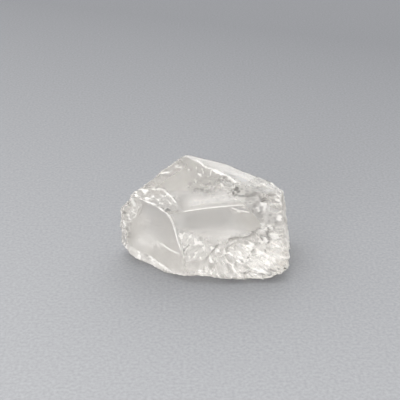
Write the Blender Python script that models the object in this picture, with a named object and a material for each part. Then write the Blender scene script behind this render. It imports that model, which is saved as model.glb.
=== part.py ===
"""Colourless topaz: a broken, water-clear crystal lying on its side, about 28 mm long.

The lengths in the tables are millimetres, and the finished mesh is written in metres.
The crystal is a block cut by flat faces. Each face is given by the compass direction that it
looks towards (0 is +X, 90 is +Y), by its tilt (90 looks straight up, -90 straight down), and
by its distance from the heart of the crystal. Hollow breaks are bites taken by large balls.
The origin is on the surface that the crystal rests on, under the middle of its box.
"""

from math import cos, floor, radians, sin

import bmesh
import bpy
from mathutils import Matrix, Vector, noise

MM = 0.001

HEART = Vector((-0.45, -2.86, 7.3))  # the point inside the crystal that faces are measured from
ROUGH_BLOCK = 100.0  # sides of the three blocks that the faces are cut on, all of them far too large
FRONT_BLOCK = 90.0
SWELLING_BLOCK = 85.0

CELL = 0.9          # spacing of the cuts that give a broken face points to move
CUT_REACH = 16.0    # the cuts go this far from the heart in each direction
LEDGE_STEP = 0.26   # height of one ledge on a broken face
LEDGE_LEVELS = 3.0  # ledges above and below the middle level, at the most
LEDGE_SPACING = 3.6  # typical width of a ledge
LUMP_HEIGHT = 0.16  # small lumps on top of the ledges
LUMP_SPACING = 1.5
LUMP_SHIFT = Vector((7.3, 1.9, 4.1))  # so that the lumps don't follow the ledges
GROUND_GAP = 0.03   # broken faces beside the resting spot stay this far above the ground

LARGE_BALL = 12.0   # a hollow with a larger radius than this is made of the finest triangles
SMALL_BALL = 4.0    # and one with a smaller radius of the coarsest
FLAT_DEGREES = 0.5  # neighbouring triangles this close to one plane are joined
SHORTEST_EDGE = 0.02
SAME_PLANE = 0.001  # a small face this near a plane, and turned this much like it, lies on it
SAME_WAY = 0.999

# name: (direction, tilt, distance, brokenness, from 0 for a flat face to 1)
FACES = {
    "band": (27, 69.7, 7.47, 0.0),
    "back_left": (146.8, 38.4, 10.4, 0.4),
    "rear_left": (135.7, 3.2, 11.85, 0.5),
    "back": (100, 5, 10.4, 0.2),
    "back_right": (66.5, 4.1, 11.45, 0.3),
    "right_end": (-4.3, 10.3, 12.0, 0.8),
    "right_top": (-22, 56, 8.6, 0.8),
    "right_corner": (30.6, 45.2, 11.45, 0.4),
    "right_low": (-40, -38, 13.6, 0.6),
    "left_end": (-157, -4.5, 11.2, 0.5),
    "left_low": (-118.4, -3.5, 6.8, 0.25),
    "under_left": (-165, -66, 10.1, 0.4),
    "keel_left": (-170, -84, 7.65, 0.3),
    "under_front": (-98, -66, 8.0, 0.4),
    "under_right": (-12, -60, 11.55, 0.5),
    "keel_right": (-12, -84, 7.85, 0.3),
    "under_back": (98, -70, 8.8, 0.5),
    "resting_spot": (0, -90, 7.3, 0.0),
}
TOP = {"top": (-85, 72, 4.9, 0.0)}
FRONT = {"front": (-80, 12, 3.85, 0.0)}

# The broken swelling stands proud of the front face, low down on the right.
SWELLING = {
    "swelling_ledge": (-86.7, 28, 2.55, 0.7),
    "swelling_front": (-92, 3, 6.0, 1.0),
    "swelling_left": (-99, 24.8, 2.85, 0.8),
}
# name: (direction, tilt, distance of the deepest point, radius of the ball)
HOLLOWS = {
    "left_hollow": (-135, -4, 6.25, 25.0),
    "oval_facet": (-14, 36, 10.6, 9.0),
    "shoulder_upper": (-155, 56, 6.7, 7.4),
    "shoulder_lower": (-136, 58, 5.75, 7.1),
    "ridge_chip": (30, 60, 6.7, 1.9),
}


def facing(direction, tilt):
    """The unit vector that looks in a compass direction, tilted up or down."""
    turn, rise = radians(direction), radians(tilt)
    return Vector((cos(turn) * cos(rise), sin(turn) * cos(rise), sin(rise)))


def clear_scene():
    for obj in list(bpy.data.objects):
        bpy.data.objects.remove(obj, do_unlink=True)


def add_object(name, mesh):
    """Puts a bmesh in the scene as an object, and frees it."""
    data = bpy.data.meshes.new(name)
    mesh.to_mesh(data)
    mesh.free()
    obj = bpy.data.objects.new(name, data)
    bpy.context.scene.collection.objects.link(obj)
    return obj


def cut_faces(mesh, faces):
    """Cuts one flat face on the mesh for each entry of the table."""
    for direction, tilt, distance, _ in faces.values():
        normal = facing(direction, tilt)
        cut = bmesh.ops.bisect_plane(
            mesh,
            geom=mesh.verts[:] + mesh.edges[:] + mesh.faces[:],
            plane_co=HEART + normal * distance,
            plane_no=normal,
            clear_outer=True,
        )
        rim = [edge for edge in cut["geom_cut"] if isinstance(edge, bmesh.types.BMEdge)]
        bmesh.ops.holes_fill(mesh, edges=rim)
    bmesh.ops.recalc_face_normals(mesh, faces=mesh.faces)


def add_block(name, faces, side):
    """A cube that has the flat faces of the table cut on it."""
    mesh = bmesh.new()
    bmesh.ops.create_cube(mesh, size=side)
    cut_faces(mesh, faces)
    return add_object(name, mesh)


def add_ball(name, direction, tilt, distance, radius):
    """A ball that bites into the crystal down to the given distance from its heart."""
    centre = HEART + facing(direction, tilt) * (distance + radius)
    fineness = 3
    if radius > SMALL_BALL:
        fineness = 4
    if radius > LARGE_BALL:
        fineness = 5
    mesh = bmesh.new()
    bmesh.ops.create_icosphere(
        mesh, subdivisions=fineness, radius=radius, matrix=Matrix.Translation(centre)
    )
    return add_object(name, mesh)


def combine(body, helper, operation):
    """Joins a helper to the body or cuts it away, then removes the helper."""
    step = body.modifiers.new(helper.name, "BOOLEAN")
    step.operation = operation
    step.solver = "EXACT"
    step.object = helper
    graph = bpy.context.evaluated_depsgraph_get()
    result = bpy.data.meshes.new_from_object(body.evaluated_get(graph))
    body.modifiers.clear()
    body.data = result
    bpy.data.objects.remove(helper, do_unlink=True)


def cut_into_cells(mesh):
    """Cuts every face along a cubic grid, so that a broken face has points that can move."""
    steps = int(CUT_REACH / CELL)
    for axis in range(3):
        normal = Vector.Fill(3, 0.0)
        normal[axis] = 1.0
        for step in range(-steps, steps + 1):
            bmesh.ops.bisect_plane(
                mesh,
                geom=mesh.verts[:] + mesh.edges[:] + mesh.faces[:],
                plane_co=HEART + normal * (step + 0.5) * CELL,
                plane_no=normal,
            )


def brokenness(face, planes):
    """How broken the flat face is that this small face lies on, or 0 in a smooth hollow."""
    middle = face.calc_center_median()
    for normal, distance, broken in planes:
        level = abs((middle - HEART).dot(normal) - distance)
        if level < SAME_PLANE and face.normal.dot(normal) > SAME_WAY:
            return broken
    return 0.0


def relief(point):
    """Height of a broken face: flat ledges at even steps, with small lumps on them."""
    level = floor(LEDGE_LEVELS * noise.noise(point / LEDGE_SPACING)) + 0.5
    ledge = min(LEDGE_STEP * level, LEDGE_STEP / 2)
    lump = LUMP_HEIGHT * noise.noise(point / LUMP_SPACING + LUMP_SHIFT)
    return ledge + lump


def break_faces(mesh):
    """Moves the points of the broken faces in and out, and leaves the flat faces flat."""
    table = {**FACES, **TOP, **FRONT, **SWELLING}
    planes = [(facing(d, t), distance, broken) for d, t, distance, broken in table.values()]
    broken = {face: brokenness(face, planes) for face in mesh.faces}
    moves = {}
    for vert in mesh.verts:
        rough = [face for face in vert.link_faces if broken[face] > 0.0]
        flat = [face for face in vert.link_faces if broken[face] == 0.0]
        if not rough:
            continue
        outward = sum((face.normal for face in rough), Vector())
        outward.normalize()
        for face in flat:
            outward -= outward.dot(face.normal) * face.normal
        share = sum(broken[face] for face in rough) / len(rough)
        on_spot = any(face.normal.z < -SAME_WAY for face in flat)
        moves[vert] = (outward * share * relief(vert.co), on_spot)
    for vert, (move, on_spot) in moves.items():
        vert.co += move
        if not on_spot:
            vert.co.z = max(vert.co.z, GROUND_GAP)


def finish_mesh(mesh):
    """Centres the crystal over the origin and turns millimetres into metres."""
    xs = [vert.co.x for vert in mesh.verts]
    ys = [vert.co.y for vert in mesh.verts]
    middle = Vector((min(xs) + max(xs), min(ys) + max(ys), 0.0)) / 2
    print("moved to the middle by, mm:", -middle)
    bmesh.ops.translate(mesh, vec=-middle, verts=mesh.verts)
    bmesh.ops.scale(mesh, vec=Vector.Fill(3, MM), verts=mesh.verts)


def clear_topaz():
    """Water-clear topaz, faintly warm, with a glassy surface."""
    material = bpy.data.materials.new("clear_topaz")
    material.use_nodes = True
    shader = material.node_tree.nodes["Principled BSDF"]
    shader.inputs["Base Color"].default_value = (0.96, 0.95, 0.93, 1.0)
    shader.inputs["Roughness"].default_value = 0.08
    shader.inputs["Metallic"].default_value = 0.0
    shader.inputs["IOR"].default_value = 1.62
    shader.inputs["Transmission Weight"].default_value = 1.0
    return material


def add_crystal():
    """The whole crystal, one closed solid."""
    crystal = add_block("topaz_crystal", TOP, ROUGH_BLOCK)
    front = add_block("front", FRONT, FRONT_BLOCK)
    combine(front, add_block("swelling", SWELLING, SWELLING_BLOCK), "UNION")
    combine(crystal, front, "INTERSECT")

    mesh = bmesh.new()
    mesh.from_mesh(crystal.data)
    cut_faces(mesh, FACES)
    mesh.to_mesh(crystal.data)
    for name, ball in HOLLOWS.items():
        combine(crystal, add_ball(name, *ball), "DIFFERENCE")

    mesh.clear()
    mesh.from_mesh(crystal.data)
    bmesh.ops.dissolve_limit(
        mesh, angle_limit=radians(FLAT_DEGREES), verts=mesh.verts, edges=mesh.edges
    )
    cut_into_cells(mesh)
    bmesh.ops.dissolve_degenerate(mesh, edges=mesh.edges, dist=SHORTEST_EDGE)
    break_faces(mesh)
    bmesh.ops.triangulate(mesh, faces=mesh.faces)
    finish_mesh(mesh)
    mesh.to_mesh(crystal.data)
    mesh.free()
    crystal.data.materials.clear()
    crystal.data.materials.append(clear_topaz())
    return crystal


clear_scene()
add_crystal()
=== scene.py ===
import math

import bpy
import numpy as np
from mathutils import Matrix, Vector


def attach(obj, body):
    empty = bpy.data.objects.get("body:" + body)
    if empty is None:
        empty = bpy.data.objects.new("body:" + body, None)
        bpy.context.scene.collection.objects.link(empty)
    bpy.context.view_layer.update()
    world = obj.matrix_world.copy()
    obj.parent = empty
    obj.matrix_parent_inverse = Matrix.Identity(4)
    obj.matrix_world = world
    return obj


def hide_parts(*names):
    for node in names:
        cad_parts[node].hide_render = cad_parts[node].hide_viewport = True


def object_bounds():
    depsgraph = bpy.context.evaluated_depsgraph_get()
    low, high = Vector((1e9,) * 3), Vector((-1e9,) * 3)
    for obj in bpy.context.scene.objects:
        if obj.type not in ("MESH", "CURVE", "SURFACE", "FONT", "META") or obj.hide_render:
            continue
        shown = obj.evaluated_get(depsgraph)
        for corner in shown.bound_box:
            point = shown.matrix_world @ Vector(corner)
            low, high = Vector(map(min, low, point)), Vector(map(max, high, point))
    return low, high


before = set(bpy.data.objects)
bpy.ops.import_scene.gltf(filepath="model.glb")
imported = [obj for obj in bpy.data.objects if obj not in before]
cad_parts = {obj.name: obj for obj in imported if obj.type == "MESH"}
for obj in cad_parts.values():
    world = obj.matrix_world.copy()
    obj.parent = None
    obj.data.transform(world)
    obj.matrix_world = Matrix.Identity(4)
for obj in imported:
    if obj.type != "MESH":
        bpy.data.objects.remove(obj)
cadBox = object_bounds()
mm = 0.001
heart = np.array([-0.16, -2.75, 7.3])   # mm, the point inside the crystal that its faces are measured from
pictureSize = 400                       # pixels
mmPerPixel = 0.155                      # at the crystal's distance
far = 1e3                               # mm, stands for a wall or a line that isn't there
edgeOn = 1e-3                           # a wall that leans less than this towards a ray is missed by it


# Camera, at the photograph's viewing angle
view = {
    "lookAt": (-0.92, -2.75, 11.3),     # mm
    "elevation": 28.0,                  # degrees above level
    "distance": 153.0,                  # mm
    "lens": 90.0,                       # mm
    "sensor": 36.0,                     # mm
    "nearest": 5.0,                     # mm, nothing nearer than this is drawn
}


def viewAxes(look):
    # right, up and back are the camera's own axes: back is (0, -cos tilt, sin tilt), and the eye is that far along it
    tilt = math.radians(look["elevation"])
    right = np.array([1.0, 0.0, 0.0])
    up = np.array([0.0, math.sin(tilt), math.cos(tilt)])
    back = np.array([0.0, -math.cos(tilt), math.sin(tilt)])
    eye = np.array(look["lookAt"]) + back * look["distance"]
    return right, up, back, eye


def inPicture(points, look):
    # where points land in the picture, in pixels: across and up divided by depth, times the lens
    right, up, back, eye = viewAxes(look)
    away = points - eye
    scale = pictureSize * look["lens"] / look["sensor"] / -(away @ back)
    return pictureSize / 2 + (away @ right) * scale, pictureSize / 2 - (away @ up) * scale


def addCamera(look):
    # an unturned camera looks straight down, so it is raised by the rest of the right angle
    right, up, back, eye = viewAxes(look)
    data = bpy.data.cameras.new("camera")
    data.lens = look["lens"]
    data.sensor_width = look["sensor"]
    data.clip_start = look["nearest"] * mm
    camera = bpy.data.objects.new("camera", data)
    camera.location = eye * mm
    camera.rotation_euler = (math.radians(90 - look["elevation"]), 0, 0)
    bpy.context.collection.objects.link(camera)
    bpy.context.scene.camera = camera


# Soft light from all round, brightest from high up behind on the left, as inside a tent of white cloth
light = {
    "brightSide": (-0.25, 0.72, 0.60),  # towards the bright side
    "dim": (0.82, 0.82, 0.82),          # colour times strength away from it
    "bright": (1.98, 1.98, 1.97),       # and in the middle of it
    "spread": (0.10, 1.0),              # the share of the way towards it where the light starts and ends to grow
    "lampAt": (-0.27, -0.51, 0.08),     # metres: a wide lamp, low in front on the left
    "lampSize": 0.35,                   # metres
    "lampPower": 2.7,                   # watts
    "bounces": 32,                      # all kinds together
    "clearBounces": 24,                 # through glass, and off it
}


def colourMix(nodes, first, second):
    # the colour first * (1 - factor) + second * factor
    mix = nodes.new("ShaderNodeMix")
    mix.data_type = "RGBA"
    mix.clamp_factor = True
    mix.inputs["A"].default_value = (*first, 1)
    mix.inputs["B"].default_value = (*second, 1)
    return mix


def addSky(look):
    # the sky's colour runs from dim to bright with (its direction . bright side), eased at both ends of the spread
    world = bpy.data.worlds.new("whiteTent")
    world.use_nodes = True
    nodes, links = world.node_tree.nodes, world.node_tree.links
    coord = nodes.new("ShaderNodeTexCoord")
    towards = nodes.new("ShaderNodeVectorMath")
    towards.operation = "DOT_PRODUCT"
    side = np.array(look["brightSide"])
    towards.inputs[1].default_value = side / np.linalg.norm(side)
    links.new(coord.outputs["Generated"], towards.inputs[0])
    share = nodes.new("ShaderNodeMapRange")
    share.interpolation_type = "SMOOTHSTEP"
    share.inputs["From Min"].default_value, share.inputs["From Max"].default_value = look["spread"]
    links.new(towards.outputs["Value"], share.inputs["Value"])
    blend = colourMix(nodes, look["dim"], look["bright"])
    links.new(share.outputs["Result"], blend.inputs["Factor"])
    links.new(blend.outputs["Result"], nodes["Background"].inputs["Color"])
    bpy.context.scene.world = world


def addLamp(look):
    # a square lamp, turned to the origin
    data = bpy.data.lights.new("lowLamp", "AREA")
    data.size = look["lampSize"]
    data.energy = look["lampPower"]
    lamp = bpy.data.objects.new("lowLamp", data)
    lamp.location = look["lampAt"]
    lamp.rotation_euler = (-Vector(look["lampAt"])).to_track_quat("-Z", "Y").to_euler()
    bpy.context.collection.objects.link(lamp)


scene = bpy.context.scene
scene.view_settings.view_transform = "Standard"
scene.cycles.max_bounces = light["bounces"]
scene.cycles.glossy_bounces = light["clearBounces"]
scene.cycles.transmission_bounces = light["clearBounces"]
addCamera(view)
addSky(light)
addLamp(light)
print("stage 1: camera and soft light")


# The table that the crystal lies on, with painted light and shade: paler towards the front left, darker towards the
# back right
table = {
    "radius": 1.2,                      # metres
    "corners": 96,
    "paintedLightTone": (0.365, 0.37, 0.385),
    "paintedShadeTone": (0.172, 0.177, 0.192),
    "paintedLightAt": (-0.035, -0.05),          # metres, where the painted light is palest and where the painted shade is darkest
    "paintedShadeAt": (0.025, 0.11),
    "roughness": 0.7,
    "grain": 0.10,                      # how much lighter and darker the grain makes it
    "grainScale": 2200.0,               # specks per metre
    "grainDetail": 2.0,
    "grainRange": (0.3, 0.7),           # the noise's values that give the darkest and the lightest specks
}


def plainMaterial(name):
    # a new material, with its nodes, links and shader at hand
    material = bpy.data.materials.new(name)
    material.use_nodes = True
    nodes, links = material.node_tree.nodes, material.node_tree.links
    return material, nodes, links, nodes["Principled BSDF"]


def tableGrainAndPaintedLight(look):
    # the colour runs from painted light to painted shade along the line between two places; fine grain makes it
    # lighter and darker
    material, nodes, links, shader = plainMaterial("table")
    coord = nodes.new("ShaderNodeTexCoord")
    start, end = np.array([*look["paintedLightAt"], 0]), np.array([*look["paintedShadeAt"], 0])
    along = (end - start) / ((end - start) @ (end - start))
    place = nodes.new("ShaderNodeVectorMath")
    place.operation = "DOT_PRODUCT"
    place.inputs[1].default_value = along
    links.new(coord.outputs["Object"], place.inputs[0])
    share = nodes.new("ShaderNodeMath")
    share.operation = "SUBTRACT"
    share.inputs[1].default_value = float(start @ along)
    links.new(place.outputs["Value"], share.inputs[0])
    # painted light and shade: the table's colour is pale where the light is strong and dark where it fades
    blend = colourMix(nodes, look["paintedLightTone"], look["paintedShadeTone"])
    links.new(share.outputs[0], blend.inputs["Factor"])
    noise = nodes.new("ShaderNodeTexNoise")
    noise.inputs["Scale"].default_value = look["grainScale"]
    noise.inputs["Detail"].default_value = look["grainDetail"]
    links.new(coord.outputs["Object"], noise.inputs["Vector"])
    speck = nodes.new("ShaderNodeMapRange")
    speck.inputs["From Min"].default_value, speck.inputs["From Max"].default_value = look["grainRange"]
    speck.inputs["To Min"].default_value = 1 - look["grain"]
    speck.inputs["To Max"].default_value = 1 + look["grain"]
    links.new(noise.outputs["Fac"], speck.inputs["Value"])
    colour = nodes.new("ShaderNodeVectorMath")
    colour.operation = "SCALE"
    links.new(blend.outputs["Result"], colour.inputs[0])
    links.new(speck.outputs["Result"], colour.inputs["Scale"])
    links.new(colour.outputs[0], shader.inputs["Base Color"])
    shader.inputs["Roughness"].default_value = look["roughness"]
    return material


def addTable(look):
    # a flat disc: the point at turn t is (radius cos t, radius sin t, 0)
    turn = np.linspace(0, 2 * np.pi, look["corners"], endpoint=False)
    rim = np.stack([np.cos(turn), np.sin(turn), 0 * turn], 1) * look["radius"]
    mesh = bpy.data.meshes.new("table")
    mesh.from_pydata(rim.tolist(), [], [list(range(look["corners"]))])
    mesh.materials.append(tableGrainAndPaintedLight(look))
    disc = bpy.data.objects.new("table", mesh)
    bpy.context.collection.objects.link(disc)
    return disc


addTable(table)
print("stage 2: table")


# The crystal. Each face is (direction, tilt, distance, brokenness, frost, crushed): direction 0 is +X and 90 is +Y,
# tilt 90 looks straight up, distance is in mm from the heart, brokenness runs from 0, flat, to 1, hackly, frost from
# 0, glassy, to 1, matt, and crushed is the part of the ridges between scars that is crushed white. Hollows are
# (direction, tilt, distance of the deepest point, radius, brokenness, frost, crushed).
crystal = {
    "faces": {
        "band": (27, 69.7, 7.47, 0.0, 0.1, 0.0),
        "backLeft": (146.8, 38.4, 10.4, 0.6, 0.15, 0.0),
        "rearLeft": (135.7, 3.2, 11.85, 0.6, 0.15, 0.0),
        "back": (100, 5, 10.4, 0.5, 0.15, 0.0),
        "backRight": (66.5, 4.1, 11.45, 0.6, 0.15, 0.0),
        "rightEnd": (-4.3, 10.3, 12.0, 0.8, 0.6, 0.3),
        "rightTop": (-22, 56, 8.6, 0.8, 0.2, 0.3),
        "rightCorner": (30.6, 45.2, 11.45, 0.5, 0.3, 0.1),
        "rightLow": (-40, -38, 13.6, 0.5, 0.5, 0.3),
        "leftEnd": (-157, -4.5, 11.2, 0.2, 0.2, 0.1),
        "leftLow": (-118.4, -3.5, 6.8, 0.2, 0.3, 0.3),
        "underLeft": (-165, -66, 10.1, 0.1, 0.9, 0.0),
        "keelLeft": (-170, -84, 7.65, 0.1, 0.9, 0.0),
        "underFront": (-98, -66, 8.0, 0.4, 0.8, 1.0),
        "underRight": (-12, -60, 11.55, 0.6, 0.3, 0.9),
        "keelRight": (-12, -84, 7.85, 0.3, 0.5, 0.6),
        "underBack": (98, -70, 8.8, 0.2, 0.9, 0.2),
        "restingSpot": (0, -90, 7.3, 0.0, 0.9, 0.0),
        "top": (-85, 72, 4.9, 0.0, 0.28, 0.0),
        "front": (-80, 12, 3.85, 0.0, 0.28, 0.0),
    },
    "swelling": {                       # stands proud of the front face, low down on the right
        "swellingLedge": (-86.7, 28, 2.55, 0.6, 0.2, 0.1),
        "swellingFront": (-92, 3, 6.0, 0.6, 0.2, 0.1),
        "swellingLeft": (-99, 24.8, 2.85, 0.6, 0.2, 0.1),
    },
    "hollows": {
        "leftHollow": (-135, -4, 6.25, 25.0, 0.0, 0.35, 0.0),
        "ovalFacet": (-14, 36, 10.6, 9.0, 0.0, 0.05, 0.0),
        "shoulderUpper": (-155, 56, 6.7, 7.4, 0.5, 0.2, 0.0),
        "shoulderLower": (-136, 58, 5.75, 7.1, 0.5, 0.2, 0.0),
        "ridgeChip": (30, 60, 6.7, 1.9, 0.2, 0.1, 0.0),
    },
    "edgeSharpness": 16.0,              # per mm: an edge is rounded over about 2 / edgeSharpness
    "hiddenSharpness": 5.0,             # the same on the side away from the camera
    "around": 392,                      # points round the long axis
    "along": 252,                       # rings along it
    "drawnToCamera": 0.45,              # how much closer together they are on the side towards the camera
    "drawnToEnds": 0.18,                # and at the ends
}
relief = {                              # broken faces: heights and sizes in mm
    "ledgeStep": 0.22, "ledgeSize": 3.6,
    "ledgeLevels": 3.0,                 # ledges above and below the middle one, at the most
    "riser": 0.15,                      # share of a ledge that is its slope up to the next
    "scarHeight": 0.40, "scarSize": 2.3,
    "chipHeight": 0.21, "chipSize": 0.75,
    "speckHeight": 0.12, "speckSize": 0.38,
    "middleLevel": 0.1,                 # a scar at this level leaves the face where it is
    "jitter": 0.3, "slope": 0.9, "unevenness": 0.3,     # how much scars differ in place, slope and level
    "inPatches": 0.45,                  # the part of the relief that patches add, cut off at these two heights
    "lowest": -0.6, "highest": 0.1,
}
cover = {                               # white, and grey painted shade, on the skin; sizes in mm
    "patchSize": 2.2,                   # of the areas with more or less of it
    "ridgeLevel": 0.30, "ridgeChange": 0.3,     # chips' ridges are crushed white above this level, give or take
    "leastCrushed": 0.05,               # and nowhere that the crushed share is lower
    "hiddenMilk": 0.8,                  # milkiness away from the camera
    "milkChange": 0.4,
    "dither": 0.1, "ditherGrain": 100,  # how much milkiness jumps from point to point, and random cells per mm
    "crushedMilk": 3.0,                 # more than the last milk step
    "scarShade": 0.55, "scarShadeSize": 0.6,      # darkness of the painted shade, and size of the scars that hold it
    "scarShadeLow": -0.05, "scarShadeHigh": 0.34,     # it lies below the first level and above the second
    "scarShadeEdge": 8.0,                    # how sharply it starts there
    "scarShadeSpread": 1.5,                  # how much it differs from area to area
    "scarShadeMost": 1.6,                    # it grows with brokenness up to this
}
turned = {                              # how quickly masks grow as the skin turns to the camera, or upwards
    "shown": 6.0, "steep": 1.6, "steepFrom": 0.1, "behind": 3.0,
}
seeds = {                               # of the random numbers
    "ledge": 11, "scar": 23, "chip": 41, "speck": 59, "crushed": 71, "milk": 83, "scarShade": 97, "scarShadePatch": 103,
    "dither": 109,
}


def facing(direction, tilt):
    # the unit vector (cos turn cos rise, sin turn cos rise, sin rise)
    turn, rise = math.radians(direction), math.radians(tilt)
    return np.array([math.cos(turn) * math.cos(rise), math.sin(turn) * math.cos(rise), math.sin(rise)])


def scramble(cells, seed):
    # an even random number from -1 to 1 for each whole-numbered cell: its numbers times large odd ones are added,
    # then mixed twice by folding the high bits down and multiplying, and the low 16 bits are kept
    big = cells.astype(np.int64)
    mixed = big[..., 0] * 374761393 + big[..., 1] * 668265263 + big[..., 2] * 1440662683 + seed * 1274126177
    mixed = mixed & 0xFFFFFFFF
    mixed = ((mixed ^ (mixed >> 13)) * 1103515245 + 12345) & 0xFFFFFFFF
    mixed = ((mixed ^ (mixed >> 15)) * 1597334677) & 0xFFFFFFFF
    return ((mixed ^ (mixed >> 16)) & 0xFFFF) / 32767.5 - 1.0


def cloud(points, size, seed):
    # smooth random heights from -1 to 1: random values at the corners of cubes, blended by 3t^2 - 2t^3
    scaled = points / size
    base = np.floor(scaled)
    part = scaled - base
    part = part * part * (3 - 2 * part)
    total = np.zeros(len(points))
    for corner in np.ndindex(2, 2, 2):
        weight = np.prod(np.where(corner, part, 1 - part), axis=1)
        total += weight * scramble(base + corner, seed)
    return total


def scars(points, size, seed):
    # shallow dishes with sharp ridges between them: the least of level + slope . offset + offset^2 over the cells
    # near. Each dish takes seven random numbers: three for its place, three for its slope and one for its level
    scaled = points / size
    base = np.floor(scaled - 0.5)
    least = np.full(len(points), far)
    for step in np.ndindex(2, 2, 2):
        cell = base + np.array(step)
        place, slope = (np.stack([scramble(cell, seed + first + k) for k in range(3)], 1) for first in (0, 3))
        slope = relief["slope"] * slope
        offset = scaled - (cell + 0.5 + relief["jitter"] * place)
        level = relief["unevenness"] * scramble(cell, seed + 6)
        least = np.minimum(least, level + (slope * offset).sum(1) + (offset * offset).sum(1))
    return least


def brokenHeight(points, shape):
    # ledges at even steps, dishes on them, and smaller and smaller chips on those, in mm
    ledge = shape["ledgeLevels"] * cloud(points, shape["ledgeSize"], seeds["ledge"])
    floor = np.floor(ledge)
    riser = np.clip((ledge - floor - (1 - shape["riser"])) / shape["riser"], 0, 1)
    height = np.minimum(shape["ledgeStep"] * (floor + riser + 0.5), shape["ledgeStep"] / 2)
    for kind in ("scar", "chip", "speck"):
        dishes = scars(points, shape[kind + "Size"], seeds[kind]) - shape["middleLevel"]
        height += shape[kind + "Height"] * dishes
    return height


def wallReaches(rays, shape, lift, press):
    # distance along each ray to each wall. A flat face: (distance + brokenness * lift + press) / (normal . ray). A
    # hollow is the near side of a ball: b - sqrt(b^2 - c), with b = centre . ray and c = centre^2 - radius^2
    def flat(rows):
        found = []
        for direction, tilt, distance, broken, frost, crushed in rows:
            lean = rays @ facing(direction, tilt)
            level = distance + broken * lift + press
            found.append(np.where(lean > edgeOn, level / np.maximum(lean, edgeOn), far))
        return found

    reaches = flat(shape["faces"].values())
    for direction, tilt, distance, radius, broken, frost, crushed in shape["hollows"].values():
        centre = facing(direction, tilt) * (distance + radius)
        b = rays @ centre
        inside = b * b - (centre @ centre - radius * radius)
        near = b - np.sqrt(np.maximum(inside, 0)) + broken * lift + press
        reaches.append(np.where((inside > 0) & (b > 0), near, far))
    reaches = np.stack(reaches)
    # the swelling stands for the front face wherever it reaches further out
    front = list(shape["faces"]).index("front")
    swelling = np.min(flat(shape["swelling"].values()), axis=0)
    raised = swelling > reaches[front]
    reaches[front] = np.maximum(reaches[front], swelling)
    return reaches, raised


def softest(reaches, sharpness):
    # a rounded minimum: -ln(sum of exp(-sharpness * reach)) / sharpness, and each wall's share in it. The sharpness
    # is given for each ray
    low = reaches.min(0)
    shares = np.exp(-sharpness * (reaches - low))
    total = shares.sum(0)
    return low - np.log(total) / sharpness, shares / total


def gridRays(shape):
    # unit rays from the heart: rings about the X axis, from -X to +X, and the two poles. Even steps s become
    # turns s - drawnToCamera * sin(s - towards camera) and angles s - drawnToEnds * sin(2s)
    back = viewAxes(view)[2]
    turn = np.linspace(0, 2 * np.pi, shape["around"], endpoint=False)
    turn = turn - shape["drawnToCamera"] * np.sin(turn - math.atan2(back[2], back[1]))
    angle = np.linspace(0, np.pi, shape["along"] + 2)[1:-1]
    angle = angle - shape["drawnToEnds"] * np.sin(2 * angle)
    angle, turn = np.meshgrid(angle, turn, indexing="ij")
    rays = np.stack([-np.cos(angle), np.sin(angle) * np.cos(turn), np.sin(angle) * np.sin(turn)], -1)
    return np.concatenate([[[-1.0, 0, 0]], rays.reshape(-1, 3), [[1.0, 0, 0]]])


def gridNormals(points, shape):
    # outward normals of the grid: the cross product of the steps round and along it
    grid = points[1:-1].reshape(shape["along"], shape["around"], 3)
    along = np.gradient(grid, axis=0)
    around = np.roll(grid, -1, 1) - np.roll(grid, 1, 1)
    normal = np.cross(around, along).reshape(-1, 3)
    normal /= np.linalg.norm(normal, axis=1, keepdims=True)
    return np.concatenate([[[-1.0, 0, 0]], normal, [[1.0, 0, 0]]])


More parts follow.
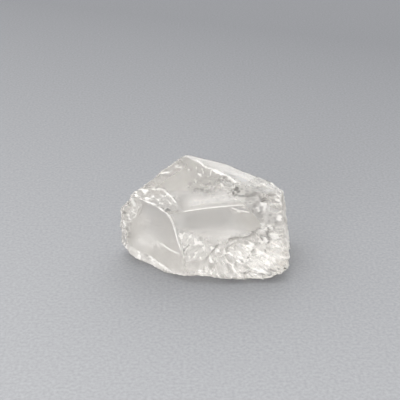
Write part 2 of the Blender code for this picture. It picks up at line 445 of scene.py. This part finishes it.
# What the photograph shows on the side that faces it. Places are its pixels; lengths are mm, turns are degrees.
marks = {
    "dents": [                          # (x, y), half length, half width, turn, depth, painted shade
        ((178, 165), 0.50, 0.35, 0, 0.30, 0.6),     # pit below the highest corner
        ((229, 180), 1.25, 0.50, 15, 0.35, 0.0),    # pale chip on the rear ridge
        ((207, 180), 1.00, 0.35, 5, 0.15, 0.3),     # streaks across the top face
        ((200, 187), 1.40, 0.30, -8, 0.10, 0.3),
        ((221, 189), 0.60, 0.60, 60, 0.15, 0.2),
        ((236, 194), 0.80, 0.30, -20, 0.15, 0.5),
        ((251, 195), 1.00, 0.38, -10, 0.50, 0.8),   # long pits over the right end
        ((265, 199), 0.90, 0.38, -35, 0.55, 0.8),
        ((272, 195), 0.90, 0.30, 0, 0.45, 0.7),
        ((262, 187), 1.10, 0.25, 5, 0.25, 0.5),
        ((190, 185), 0.55, 0.40, 50, 0.15, 0.3),    # small pits
        ((273, 238), 0.28, 0.34, 0, 0.30, 0.9),
        ((182, 233), 0.35, 0.30, 40, 0.20, 0.7),
        ((240, 210), 1.10, 0.45, 10, 0.12, 0.0),    # shallow dishes on the front
        ((262, 228), 0.20, 0.50, -10, 0.15, 0.0),
    ],
    "cracks": [                         # points, half width, depth
        ([(218, 247), (213, 256), (207, 265)], 0.38, 0.50),     # down the left of the swelling
        ([(231, 240), (238, 239), (247, 238), (256, 234), (262, 229)], 0.32, 0.40),     # and over it
        ([(241, 241), (235, 245), (230, 250)], 0.22, 0.40),
        ([(189, 245), (186, 248), (183, 253)], 0.15, 0.25),     # low on the front
        ([(258, 232), (261, 240)], 0.18, 0.30),
        ([(270, 228), (278, 231)], 0.18, 0.30),
        ([(246, 195), (258, 194)], 0.18, 0.30),     # over the right end
        ([(261, 197), (268, 201)], 0.18, 0.30),
        ([(198, 178), (208, 181), (216, 180)], 0.16, 0.20),     # across the top face
        ([(133, 200), (137, 212), (130, 221)], 0.15, 0.15),     # on the left end
        ([(143, 205), (139, 215)], 0.12, 0.12),
    ],
    "crackPaintedShade": 2.0,                  # painted shade per mm of depth
    "bruises": [                        # points and half width: crushed white edges
        ([(196, 160), (205, 165), (213, 168.5)], 0.06),     # along the rear ridge
        ([(212, 168), (222, 173)], 0.12),
        ([(222, 173), (229, 177), (237, 181)], 0.05),
        # round the oval facet
        ([(268, 207), (272, 203.5), (280, 204), (282, 210), (276, 213), (269, 211), (268, 207)], 0.05),
        ([(284, 196), (286, 207), (288.5, 223), (290, 241)], 0.05),     # down the right end
        ([(184, 211), (205, 208), (225, 206), (243, 204.5)], 0.06),     # ridge between top and front
        ([(153, 189), (163, 190), (170, 196), (176, 203)], 0.09),       # edges of the shoulder
        ([(144, 200.5), (151, 203), (158, 207)], 0.13),
        ([(158, 207), (163, 211)], 0.12),
        # edge between the hollow and the front
        ([(165, 212), (169, 217), (172, 222), (174.5, 230), (176, 236), (178, 243), (181, 250)], 0.08),
        ([(150, 256), (159, 262.5), (170, 270)], 0.16),     # lower left edge
        ([(161, 243), (169, 249), (178, 253)], 0.10),       # lines in the hollow
        ([(157.5, 241), (159, 247)], 0.06),
        ([(157, 173), (169, 172)], 0.08),                   # upper left edge
        ([(262, 225), (261, 231)], 0.12),                   # on and above the swelling
        ([(231, 238), (245, 236), (254, 233)], 0.07),
        ([(222, 178), (229, 177.5), (236, 181)], 0.07),     # below the rear ridge
        ([(232, 208), (240, 210), (248, 212)], 0.10),       # below the front ridge
    ],
    # each patch adds what it names inside its outline, and fades out over its margin, in mm. Its stain, where it has
    # one, is painted shade
    "patches": {
        "swelling": {"margin": 0.6, "broken": 0.6, "crushed": 0.5, "milk": 0.55, "outline": [
            (180, 231), (188, 231), (199, 237), (212, 246), (222, 243), (232, 237), (254, 232), (262, 222),
            (280, 224), (293, 240), (293, 290), (180, 290), (183, 256)]},
        "rightTop": {"margin": 0.4, "broken": 0.9, "frost": 0.05, "crushed": 0.3, "outline": [
            (236, 186), (262, 176), (286, 190), (286, 199), (271, 202), (267, 212), (276, 215), (286, 212),
            (290, 215), (284, 226), (262, 222), (254, 212), (246, 203), (236, 196)]},
        "rightTopGrey": {"margin": 0.6, "broken": 0.9, "paintedShade": 0.08, "outline": [
            (236, 186), (262, 178), (284, 190), (284, 198), (268, 201), (262, 214), (250, 212), (240, 201)]},
        "leftEnd": {"margin": 0.5, "broken": 1.2, "crushed": 0.3, "milk": 0.7, "outline": [
            (110, 190), (136, 190), (143, 201), (136, 213), (131, 228), (128, 248), (110, 250)]},
        "rearBand": {"margin": 0.6, "paintedShade": 0.12, "outline": [
            (215, 160), (262, 172), (284, 187), (262, 177), (236, 180), (216, 167)]},
        "rightEnd": {"margin": 0.6, "milk": 0.7, "outline": [
            (268, 201), (284, 202), (287, 214), (284, 234), (264, 232), (262, 216)]},
        "frontMiddle": {"margin": 2.6, "milk": 0.9, "outline": [
            (194, 231), (240, 228), (238, 240), (216, 250), (200, 242)]},
        "shoulder": {"margin": 0.3, "broken": 1.4, "frost": 0.1, "crushed": 0.2, "milk": 0.3, "outline": [
            (136, 190), (153, 187), (166, 190), (184, 211), (166, 212), (144, 201)]},
        "upperLeftEdge": {"margin": 0.5, "broken": 0.6, "frost": 0.1, "crushed": 0.3, "milk": 0.2, "outline": [
            (148, 178), (160, 170), (176, 160), (184, 165), (170, 174), (158, 182)]},
        "topStreaks": {"margin": 1.2, "broken": 1.7, "crushed": 0.08, "paintedShade": 0.10, "outline": [
            (186, 166), (206, 165), (238, 181), (248, 196), (236, 204), (206, 197), (188, 188)]},
        "topFront": {"margin": 2.0, "milk": 0.95, "outline": [
            (184, 211), (190, 197), (212, 192), (242, 189), (250, 204)]},
        "frontLow": {"margin": 1.0, "broken": 0.8, "crushed": 0.65, "milk": 1.4, "outline": [
            (180, 232), (200, 236), (216, 248), (212, 262), (184, 262)]},
        "lowerLeftEdge": {"margin": 0.4, "broken": 0.7, "frost": 0.05, "crushed": 0.6, "milk": 1.0, "outline": [
            (120, 240), (134, 247), (150, 256), (160, 263), (170, 269), (186, 273), (186, 285), (120, 285)]},
        "hollow": {"margin": 2.5, "milk": 0.6, "outline": [
            (130, 212), (148, 208), (160, 226), (162, 246), (148, 256), (132, 246)]},
        "frontLeft": {"margin": 0.8, "milk": 0.6, "outline": [
            (167, 213), (186, 212), (182, 232), (177, 232)]},
        "hollowRight": {"margin": 1.5, "milk": 0.2, "paintedShade": 0.06, "outline": [
            (158, 206), (166, 211), (173, 222), (177, 240), (162, 246), (154, 226)]},
        "hollowLow": {"margin": 1.0, "broken": 0.1, "milk": 0.4, "paintedShade": 0.08, "outline": [
            (158, 242), (180, 252), (184, 268), (170, 270), (150, 256)]},
        "frontHigh": {"margin": 1.6, "milk": 0.1, "paintedShade": 0.03, "outline": [
            (187, 211), (246, 206), (244, 224), (190, 227)]},
        "topLeft": {"margin": 2.5, "milk": 0.15, "outline": [
            (160, 176), (188, 158), (206, 176), (190, 198), (166, 192)]},
    },
}


def strokeDistance(x, y, path):
    # distance in mm of picture places from a line of points: the least over its straight pieces
    least = np.full(len(x), far)
    for (ax, ay), (bx, by) in zip(path[:-1], path[1:]):
        run = (bx - ax) ** 2 + (by - ay) ** 2
        part = np.clip(((x - ax) * (bx - ax) + (y - ay) * (by - ay)) / run, 0, 1)
        least = np.minimum(least, np.hypot(x - ax - part * (bx - ax), y - ay - part * (by - ay)))
    return least * mmPerPixel


def markedHeight(x, y, shown, given):
    # dents are depth * (1 - r^2)^2 deep at r half widths from their middle, with painted shade as strong as their
    # dish; cracks are V grooves, with painted shade as deep as they go; bruises are 1 up to half their half width and
    # 0 from one and a half
    press, paintedShade, bruise = np.zeros((3, len(x)))
    for (midX, midY), long, wide, turn, depth, amount in given["dents"]:
        c, s = math.cos(math.radians(turn)), math.sin(math.radians(turn))
        across, down = (x - midX) * mmPerPixel, (y - midY) * mmPerPixel
        r2 = ((across * c + down * s) / long) ** 2 + ((down * c - across * s) / wide) ** 2
        dish = np.clip(1 - r2, 0, 1) ** 2
        press -= depth * dish
        paintedShade = np.maximum(paintedShade, amount * dish)
    for path, half, depth in given["cracks"]:
        groove = np.clip(1 - strokeDistance(x, y, path) / half, 0, 1)
        press -= depth * groove
        paintedShade = np.maximum(paintedShade, given["crackPaintedShade"] * depth * groove)
    for path, half in given["bruises"]:
        bruise = np.maximum(bruise, np.clip(1.5 - strokeDistance(x, y, path) / half, 0, 1))
    return press * shown, paintedShade * shown, bruise * shown


def insideOutline(x, y, outline):
    # whether picture places lie in an outline: a level line from them crosses it an odd number of times
    odd = np.zeros(len(x), bool)
    for (ax, ay), (bx, by) in zip(outline, outline[1:] + outline[:1]):
        level = (ay > y) != (by > y)
        crossing = ax + (y - ay) * (bx - ax) / (by - ay if by != ay else 1.0)
        odd ^= level & (x < crossing)
    return odd


def patchShares(x, y, shown, patches):
    # brokenness, frost, crushed share, milk and painted shade added by the patches: the most that any patch gives,
    # each growing evenly from 0 to 1 times its amount across its margin
    kinds = ("broken", "frost", "crushed", "milk", "paintedShade")
    added = np.zeros((len(kinds), len(x)))
    for patch in patches.values():
        outline = patch["outline"]
        gap = strokeDistance(x, y, outline + outline[:1])
        depth = np.where(insideOutline(x, y, outline), gap, -gap)
        share = np.clip(0.5 + depth / patch["margin"], 0, 1) * shown
        amounts = np.array([patch.get(kind, 0.0) for kind in kinds])
        added = np.maximum(added, share * amounts[:, None])
    return added


def turnedShares(normals):
    # from 0 to 1: how far the skin is shown to the camera, how squarely it faces it, and how far it is behind
    # without looking down
    lean = normals @ viewAxes(view)[2]
    shown = np.clip(lean * turned["shown"], 0, 1)
    steep = np.clip(lean * turned["steep"] - turned["steepFrom"], 0, 1)
    behind = (1 - shown) * np.clip(1 + turned["behind"] * normals[:, 2], 0, 1)
    return shown, steep, behind


def wallKinds(shape, shares, raised):
    # brokenness, frost and crushed share: each wall's own times its share, and the swelling's where it is raised
    rows = [row[-3:] for row in (*shape["faces"].values(), *shape["hollows"].values())]
    front = list(shape["faces"]).index("front")
    swelling = np.subtract(shape["swelling"]["swellingFront"][-3:], rows[front])
    return np.array(rows).T @ shares + swelling[:, None] * (shares[front] * raised)


def crushedRidges(skin, crushed, look):
    # 1 where a ridge between chips is higher than a level that changes from place to place
    patch = cloud(skin, look["patchSize"], seeds["crushed"]) + 2 * crushed - 1
    ridge = scars(skin, relief["chipSize"], seeds["chip"]) - look["ridgeLevel"] + look["ridgeChange"] * patch
    return (ridge > 0) * (crushed > look["leastCrushed"]) * 1.0


def milkiness(skin, added, behind, bruise, look):
    # what the patches add, or the hidden side has, made uneven; most on bruises
    veil = np.maximum(added, look["hiddenMilk"] * behind)
    veil = veil * (1 + look["milkChange"] * cloud(skin, relief["ledgeSize"], seeds["milk"]))
    veil = veil + look["dither"] * scramble(skin * look["ditherGrain"], seeds["dither"])
    return np.maximum(veil, look["crushedMilk"] * (bruise > 0.5))


def paintedScarShade(skin, broken, steep, look):
    # painted shade: grey in the deepest dishes and along the sharpest ridges of another set of scars, in patches
    dish = scars(skin, look["scarShadeSize"], seeds["scarShade"])
    low = np.clip((look["scarShadeLow"] - dish) * look["scarShadeEdge"], 0, 1)
    high = np.clip((dish - look["scarShadeHigh"]) * look["scarShadeEdge"], 0, 1)
    patch = np.clip(0.5 + look["scarShadeSpread"] * cloud(skin, look["patchSize"], seeds["scarShadePatch"]), 0, 1)
    return look["scarShade"] * np.maximum(low, high) * patch * np.clip(broken, 0, look["scarShadeMost"]) * steep


def crystalSurface(shape):
    # the skin is at the rounded least reach of all walls, pressed in at the marks
    rays = gridRays(shape)
    plain, raised = wallReaches(rays, shape, 0.0, 0.0)
    skin = heart + rays * plain.min(0)[:, None]
    shown, steep, behind = turnedShares(gridNormals(skin, shape))
    x, y = inPicture(skin, view)
    press, paintedShade, bruise = markedHeight(x, y, shown, marks)
    added = patchShares(x, y, shown, marks["patches"])
    height = brokenHeight(skin, relief)
    press += relief["inPatches"] * added[0] * np.clip(height, relief["lowest"], relief["highest"])
    reaches, raised = wallReaches(rays, shape, height, press)
    sharpness = shape["hiddenSharpness"] + (shape["edgeSharpness"] - shape["hiddenSharpness"]) * shown
    reach, shares = softest(reaches, sharpness)
    broken, frost, crushed = wallKinds(shape, shares, raised) + added[:3]
    bruise = np.maximum(bruise, crushedRidges(skin, crushed, cover))
    milk = milkiness(skin, added[3], behind, bruise, cover)
    # painted shade from the marks, from the scars' dishes and ridges, and from the patches
    paintedShade = np.maximum(paintedShade, paintedScarShade(skin, broken, steep, cover)) + added[4]
    return heart + rays * reach[:, None], milk, {"broken": broken, "frost": frost, "paintedShade": paintedShade}


def gridFaces(shape):
    # quads between neighbouring rings, and a fan of triangles at each pole
    along, around = shape["along"], shape["around"]
    ring, spot = np.meshgrid(np.arange(along - 1), np.arange(around), indexing="ij")
    a = 1 + ring * around + spot
    b = 1 + ring * around + (spot + 1) % around
    quads = np.stack([a, b, b + around, a + around], -1).reshape(-1, 4)
    spot = np.arange(around)
    following = (spot + 1) % around
    last = 1 + (along - 1) * around
    first = np.stack([np.zeros(around, int), 1 + following, 1 + spot], 1)
    end = np.stack([last + spot, last + following, np.full(around, last + around)], 1)
    return quads.tolist() + first.tolist() + end.tolist()


clearLook = {
    "colour": (0.99, 0.962, 0.92),
    "paintedShade": (0.12, 0.115, 0.105),      # painted shade in pits, cracks, scars and darker patches
    "ior": 1.62,
    "polish": 0.01,                     # roughness of a glassy face
    "frost": 0.95,                      # roughness of a matt one
    "grainSize": 0.00025,               # metres
    "grain": 0.35,
    "milkSteps": (0.12, 0.28, 0.45, 0.62, 0.8, 1.5),
    # share of the light that isn't scattered at the skin, below and above each milk step
    "clear": (0.97, 0.93, 0.89, 0.84, 0.77, 0.68, 0.25),
}


def addCrystal(shape, look):
    # the surface, kept inside the solid's box; a face's material is the number of milk steps that it is past
    points, milk, masks = crystalSurface(shape)
    low, high = (np.array(corner) / mm for corner in cadBox)
    points = np.clip(points, low, high)
    mesh = bpy.data.meshes.new("topazCrystal")
    mesh.from_pydata((points * mm).tolist(), [], gridFaces(shape))
    for name, values in masks.items():
        mark = mesh.attributes.new(name, "FLOAT", "POINT")
        mark.data.foreach_set("value", np.clip(values, 0, 1).astype(np.float32))
    mesh.shade_smooth()
    corner = np.empty(len(mesh.loops), np.int32)
    mesh.loops.foreach_get("vertex_index", corner)
    start = np.empty(len(mesh.polygons), np.int32)
    mesh.polygons.foreach_get("loop_start", start)
    level = np.digitize(milk[corner[start]], look["milkSteps"])
    mesh.polygons.foreach_set("material_index", level.astype(np.int32))
    obj = bpy.data.objects.new("topazCrystal", mesh)
    bpy.context.collection.objects.link(obj)
    return obj


def topazSkin():
    # shared by all the topaz materials. Colour runs from clear to painted shade by the stain attribute, roughness
    # from polish to frost by the frost attribute, and height is the grain's times the broken attribute
    group = bpy.data.node_groups.new("topazSkin", "ShaderNodeTree")
    nodes, links = group.nodes, group.links
    colour, number = "NodeSocketColor", "NodeSocketFloat"
    given = {"clear": colour, "paintedShadeColour": colour, "polish": number, "frost": number, "grainScale": number}
    made = {"colour": colour, "roughness": number, "height": number}
    for way, sockets in (("INPUT", given), ("OUTPUT", made)):
        for name, kind in sockets.items():
            group.interface.new_socket(name, in_out=way, socket_type=kind)
    entry, result = nodes.new("NodeGroupInput"), nodes.new("NodeGroupOutput")
    mask = {}
    for name in ("paintedShade", "frost", "broken"):
        mask[name] = nodes.new("ShaderNodeAttribute")
        mask[name].attribute_name = name

    # painted shade: the stain attribute mixes the colour towards the dark stain colour
    tint = nodes.new("ShaderNodeMix")
    tint.data_type = "RGBA"
    links.new(mask["paintedShade"].outputs["Fac"], tint.inputs["Factor"])
    links.new(entry.outputs["clear"], tint.inputs["A"])
    links.new(entry.outputs["paintedShadeColour"], tint.inputs["B"])
    links.new(tint.outputs["Result"], result.inputs["colour"])

    spread = nodes.new("ShaderNodeMapRange")
    links.new(mask["frost"].outputs["Fac"], spread.inputs["Value"])
    links.new(entry.outputs["polish"], spread.inputs["To Min"])
    links.new(entry.outputs["frost"], spread.inputs["To Max"])
    links.new(spread.outputs["Result"], result.inputs["roughness"])

    coord = nodes.new("ShaderNodeTexCoord")
    grain = nodes.new("ShaderNodeTexVoronoi")
    links.new(coord.outputs["Object"], grain.inputs["Vector"])
    links.new(entry.outputs["grainScale"], grain.inputs["Scale"])
    height = nodes.new("ShaderNodeMath")
    height.operation = "MULTIPLY"
    links.new(grain.outputs["Distance"], height.inputs[0])
    links.new(mask["broken"].outputs["Fac"], height.inputs[1])
    links.new(height.outputs[0], result.inputs["height"])
    return group


def clearTopaz(look, skin, name, clear):
    # clear crystal that scatters the rest of the light at its skin
    material, nodes, links, shader = plainMaterial(name)
    group = nodes.new("ShaderNodeGroup")
    group.node_tree = skin
    group.inputs["clear"].default_value = (*look["colour"], 1)
    group.inputs["paintedShadeColour"].default_value = (*look["paintedShade"], 1)
    group.inputs["polish"].default_value = look["polish"]
    group.inputs["frost"].default_value = look["frost"]
    group.inputs["grainScale"].default_value = 1 / look["grainSize"]
    bump = nodes.new("ShaderNodeBump")
    bump.inputs["Strength"].default_value = look["grain"]
    bump.inputs["Distance"].default_value = look["grainSize"] / 2
    links.new(group.outputs["height"], bump.inputs["Height"])
    links.new(bump.outputs[0], shader.inputs["Normal"])
    links.new(group.outputs["colour"], shader.inputs["Base Color"])
    links.new(group.outputs["roughness"], shader.inputs["Roughness"])
    shader.inputs["IOR"].default_value = look["ior"]
    shader.inputs["Transmission Weight"].default_value = clear
    return material


topaz = addCrystal(crystal, clearLook)
skinGroup = topazSkin()
for level, clear in enumerate(clearLook["clear"]):
    topaz.data.materials.append(clearTopaz(clearLook, skinGroup, f"clearTopaz{level}", clear))
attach(topaz, "root")
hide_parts("topaz_crystal")
print("stage 3: crystal,", len(topaz.data.polygons), "faces")
